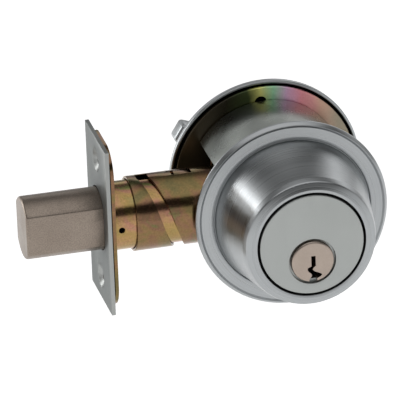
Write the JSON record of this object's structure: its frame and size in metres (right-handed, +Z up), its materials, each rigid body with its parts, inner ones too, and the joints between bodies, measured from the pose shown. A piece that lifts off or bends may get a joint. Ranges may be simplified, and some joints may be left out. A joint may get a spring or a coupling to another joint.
{
  "type": "deadbolt door lock",
  "caption": "Deadbolt door lock: key cylinder in a tapered collar, tubular latch with faceplate and square-ended bolt, and a round rose with a thumbturn.",
  "frame": {"origin": "where the lock's axis through the door crosses the latch's axis, the centre of the door's large hole", "axes": "-Y towards the key side, +Y towards the thumbturn side, -X towards the door's edge, +Z up"},
  "size_m": [0.1178, 0.084, 0.0642],
  "materials": {
    "satin_chrome": "satin brushed chrome plate",
    "satin_nickel": "satin nickel plated steel",
    "yellow_zinc": "yellow chromated zinc plate with rainbow tints",
    "die_cast_zinc": "smooth die cast zinc",
    "plain_steel": "plain zinc plated steel",
    "hardened_steel": "dark hardened steel",
    "brass": "turned brass",
    "nickel_brass": "nickel plated brass"
  },
  "bodies": {
    "lock_frame": {"cylinder_housing": "die_cast_zinc", "cylinder_shell": "satin_chrome", "cylinder_screw_edge_side": "plain_steel", "cylinder_screw_far_side": "plain_steel", "spring_cover": "brass", "driver_pin_1": "nickel_brass", "driver_pin_2": "nickel_brass", "driver_pin_3": "nickel_brass", "driver_pin_4": "nickel_brass", "driver_pin_5": "nickel_brass", "pin_spring_1": "hardened_steel", "pin_spring_2": "hardened_steel", "pin_spring_3": "hardened_steel", "pin_spring_4": "hardened_steel", "pin_spring_5": "hardened_steel", "faceplate": "satin_chrome", "backing_plate": "yellow_zinc", "front_tube": "yellow_zinc", "rear_sleeve": "yellow_zinc", "latch_case": "yellow_zinc", "mounting_plate": "yellow_zinc", "through_bolt_upper": "plain_steel", "through_bolt_lower": "plain_steel", "inside_rose": "satin_chrome", "rose_screw_edge_side": "satin_chrome", "rose_screw_far_side": "satin_chrome", "friction_washer": "hardened_steel"},
    "collar": {"outside_collar": "satin_chrome", "collar_retainer": "plain_steel"},
    "key_plug": {"plug": "nickel_brass", "plug_retainer": "plain_steel", "key_pin_1": "brass", "key_pin_2": "brass", "key_pin_3": "brass", "key_pin_4": "brass", "key_pin_5": "brass"},
    "turn": {"thumbturn": "satin_chrome", "turn_clip": "hardened_steel", "tailpiece": "plain_steel", "spindle_cam": "plain_steel"},
    "bolt": {"deadbolt": "satin_nickel", "bolt_bar": "plain_steel", "bar_rivet": "plain_steel"},
    "roller": {"saw_roller": "hardened_steel"}
  },
  "joints": [
    {"name": "collar_spin", "type": "hinge", "parent": "lock_frame", "child": "collar", "pos_m": [0, -0.0152, 0], "axis": [0, 1, 0], "continuous": true},
    {"name": "plug_turn", "type": "hinge", "parent": "lock_frame", "child": "key_plug", "pos_m": [0, -0.0419, -0.00588], "axis": [0, 1, 0], "range_deg": [-90, 90]},
    {"name": "knob_turn", "type": "hinge", "parent": "lock_frame", "child": "turn", "pos_m": [0, 0.0306, -0.00588], "axis": [0, 1, 0], "range_deg": [0, 90]},
    {"name": "bolt_throw", "type": "slide", "parent": "lock_frame", "child": "bolt", "axis": [1, 0, 0], "range_m": [0, 0.0254]},
    {"name": "roller_spin", "type": "hinge", "parent": "bolt", "child": "roller", "pos_m": [-0.067, 0, -0.0046], "axis": [1, 0, 0], "continuous": true}
  ],
  "couplings": [
    {"joint": "bolt_throw", "follows": "knob_turn", "m_per_rad": 0.01617}
  ]
}
